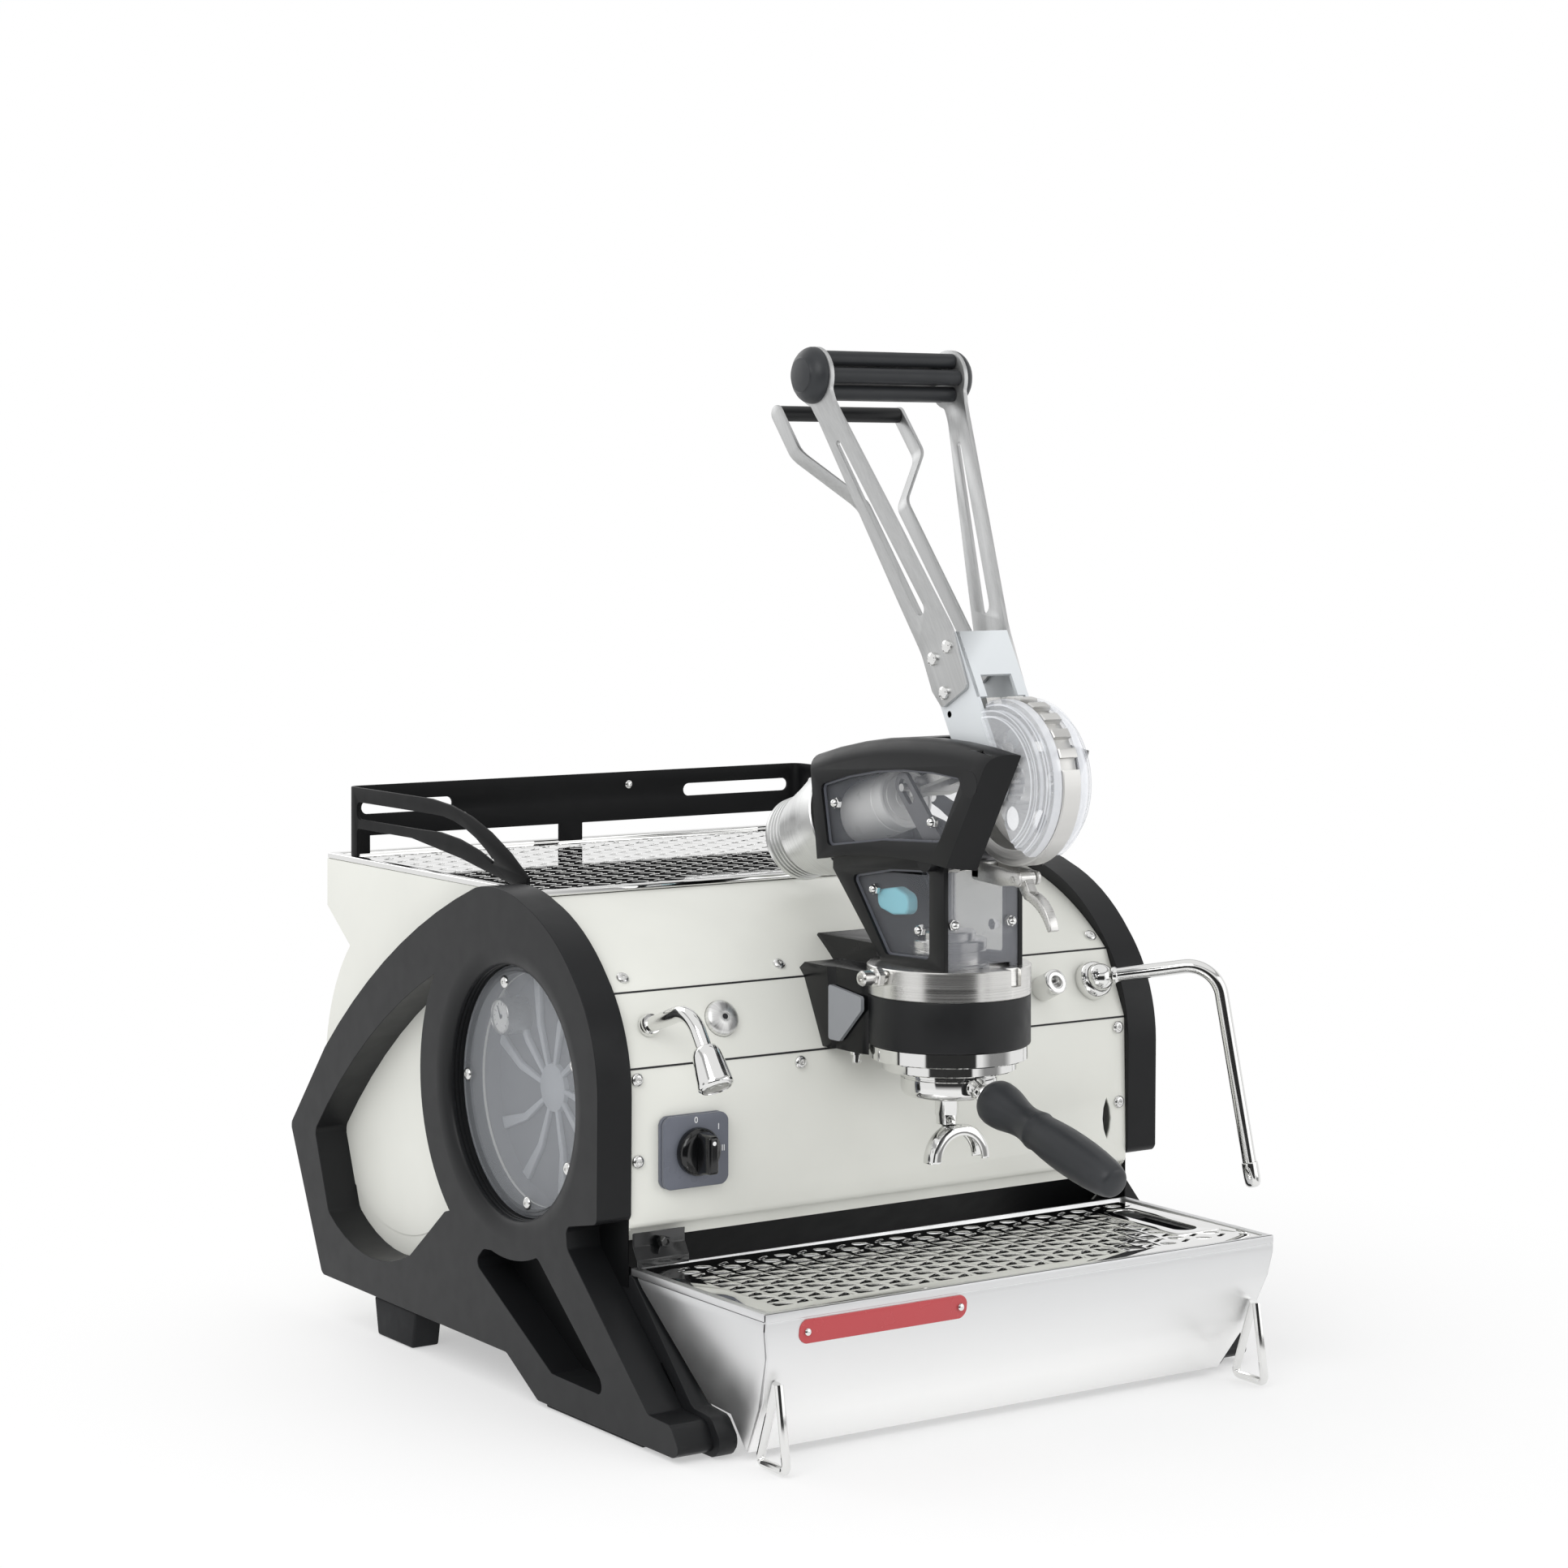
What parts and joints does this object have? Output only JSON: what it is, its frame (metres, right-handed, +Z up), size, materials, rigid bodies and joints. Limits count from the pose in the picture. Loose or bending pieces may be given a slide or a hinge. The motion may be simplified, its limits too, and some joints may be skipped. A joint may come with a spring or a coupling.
{
  "type": "lever espresso machine",
  "caption": "Lever espresso machine: thick side frames with portholes, spring lever over the group, cup tray, drip tray, steam wand and hot-water spout.",
  "frame": {"origin": "middle of the bounding box on the worktop", "axes": "+X to the machine's right as seen by the user, +Y to the back, +Z up"},
  "size_m": [0.5632, 0.7656, 0.7815],
  "materials": {
    "charcoal": "satin",
    "black_sheet": "satin",
    "ivory": "satin",
    "steel": "brushed",
    "polished": "polished",
    "alu": "satin",
    "silver_paint": "satin",
    "brass": "satin",
    "black_plastic": "matte",
    "gloss_black": "glossy",
    "grey_plastic": "matte",
    "clear": "clear",
    "rubber": "matte"
  },
  "bodies": {
    "machine": {"base_pan": "black_sheet", "bayonet_flange": "polished", "coffee_boiler": "steel", "cup_rail": "black_sheet", "cup_tray": "steel", "drip_tray": "steel", "front_shield": "clear", "group_collar": "steel", "group_cylinder": "brass", "group_gasket": "rubber", "group_jacket": "black_plastic", "group_support": "charcoal", "hood_frame": "charcoal", "hood_nuts": "polished", "hood_windows": "clear", "inner_legs": "charcoal", "lower_front_panel": "ivory", "main_spring": "steel", "middle_front_panel": "ivory", "panel_screws": "polished", "porthole_windows": "clear", "pressure_gauge": "black_plastic", "rear_cover": "ivory", "rubber_feet": "rubber", "side_covers": "ivory", "side_frame_left": "charcoal", "side_frame_right": "charcoal", "spring_barrel": "alu", "spring_sleeve": "steel", "steam_boiler": "steel", "steam_flange": "polished", "switch_plate": "grey_plastic", "top_front_panel": "ivory", "tray_feet": "steel"},
    "switch": {"switch_knob": "black_plastic"},
    "water_button": {"hot_water_button": "polished"},
    "water_spout": {"hot_water_spout": "polished"},
    "wand_ball": {"steam_ball": "polished"},
    "wand": {"steam_wand": "polished"},
    "steam_valve": {"steam_knob": "steel"},
    "piston_unit": {"piston": "steel"},
    "rocker_unit": {"rocker": "steel"},
    "rack_unit": {"pull_rod": "steel"},
    "lever": {"hub_gear": "steel", "index_ring": "steel", "gear_covers": "clear", "lever_channel": "silver_paint", "lever_arms": "steel", "handle_tubes": "black_plastic", "handle_caps": "gloss_black", "lever_screws": "polished"},
    "pawl_unit": {"pawl": "steel"},
    "fork": {"release_fork": "steel", "fork_tube": "black_plastic"},
    "catch": {"trigger": "steel"},
    "portafilter": {"portafilter_body": "polished", "portafilter_grip": "gloss_black", "filter_basket": "steel", "portafilter_spout": "polished"},
    "grate": {"drip_grate": "steel"}
  },
  "joints": [
    {"name": "lever_hinge", "type": "hinge", "parent": "machine", "child": "lever", "pos_m": [-0.02164, -0.27121, 0.464], "axis": [1, 0, 0], "range_deg": [0, 110], "stiffness_Nm_per_rad": 8, "springref_deg": -28.65},
    {"name": "rack_slide", "type": "slide", "parent": "machine", "child": "rack_unit", "axis": [0, -0.9563, 0.2924], "range_m": [0, 0.0308], "deforming": ["main_spring"]},
    {"name": "rocker_hinge", "type": "hinge", "parent": "machine", "child": "rocker_unit", "pos_m": [-0.02164, -0.21621, 0.405], "axis": [1, 0, 0], "range_deg": [0, 27]},
    {"name": "piston_slide", "type": "slide", "parent": "machine", "child": "piston_unit", "axis": [0, 0, 1], "range_m": [0, 0.0145]},
    {"name": "fork_hinge", "type": "hinge", "parent": "lever", "child": "fork", "pos_m": [-0.02164, -0.20067, 0.54381], "axis": [1, 0, 0], "range_deg": [0, 8], "stiffness_Nm_per_rad": 2, "springref_deg": -20.05},
    {"name": "pawl_hinge", "type": "hinge", "parent": "lever", "child": "pawl_unit", "pos_m": [-0.02164, -0.21822, 0.51009], "axis": [1, 0, 0], "range_deg": [-14, 0]},
    {"name": "catch_hinge", "type": "hinge", "parent": "machine", "child": "catch", "pos_m": [-0.02164, -0.27621, 0.394], "axis": [1, 0, 0], "range_deg": [0, 15], "stiffness_Nm_per_rad": 0.08, "springref_deg": -22.92},
    {"name": "portafilter_turn", "type": "hinge", "parent": "machine", "child": "portafilter", "pos_m": [-0.02164, -0.18621, 0.25], "axis": [0, 0, -1], "range_deg": [0, 50]},
    {"name": "water_spout_swivel", "type": "hinge", "parent": "machine", "child": "water_spout", "pos_m": [-0.22864, -0.09683, 0.283], "axis": [0, -0.9145, 0.4045], "range_deg": [-60, 60]},
    {"name": "water_button_press", "type": "slide", "parent": "machine", "child": "water_button", "axis": [0, 0.9145, -0.4045], "range_m": [0, 0.003], "stiffness_N_per_m": 400, "springref_m": -0.004},
    {"name": "wand_swivel", "type": "hinge", "parent": "machine", "child": "wand_ball", "pos_m": [0.18536, -0.1078, 0.28785], "axis": [0, 0, 1], "range_deg": [-60, 15]},
    {"name": "wand_tilt", "type": "hinge", "parent": "wand_ball", "child": "wand", "pos_m": [0.18536, -0.1078, 0.28785], "axis": [-0.7071, -0.7071, 0], "range_deg": [-4, 15]},
    {"name": "steam_valve_turn", "type": "hinge", "parent": "machine", "child": "steam_valve", "pos_m": [0.13436, -0.09771, 0.281], "axis": [0, -0.9145, 0.4045], "range_deg": [0, 270]},
    {"name": "switch_turn", "type": "hinge", "parent": "machine", "child": "switch", "pos_m": [-0.20064, -0.11921, 0.1925], "axis": [0, -1, 0], "range_deg": [-90, 0]},
    {"name": "grate_lift", "type": "slide", "parent": "machine", "child": "grate", "axis": [0, 0, 1], "range_m": [0, 0.04]}
  ],
  "couplings": [
    {"joint": "rack_slide", "follows": "lever_hinge", "m_per_rad": 0.016},
    {"joint": "rocker_hinge", "follows": "lever_hinge", "ratio": 0.24455},
    {"joint": "piston_slide", "follows": "lever_hinge", "m_per_rad": 0.007474},
    {"joint": "pawl_hinge", "follows": "fork_hinge", "ratio": -1.714}
  ]
}
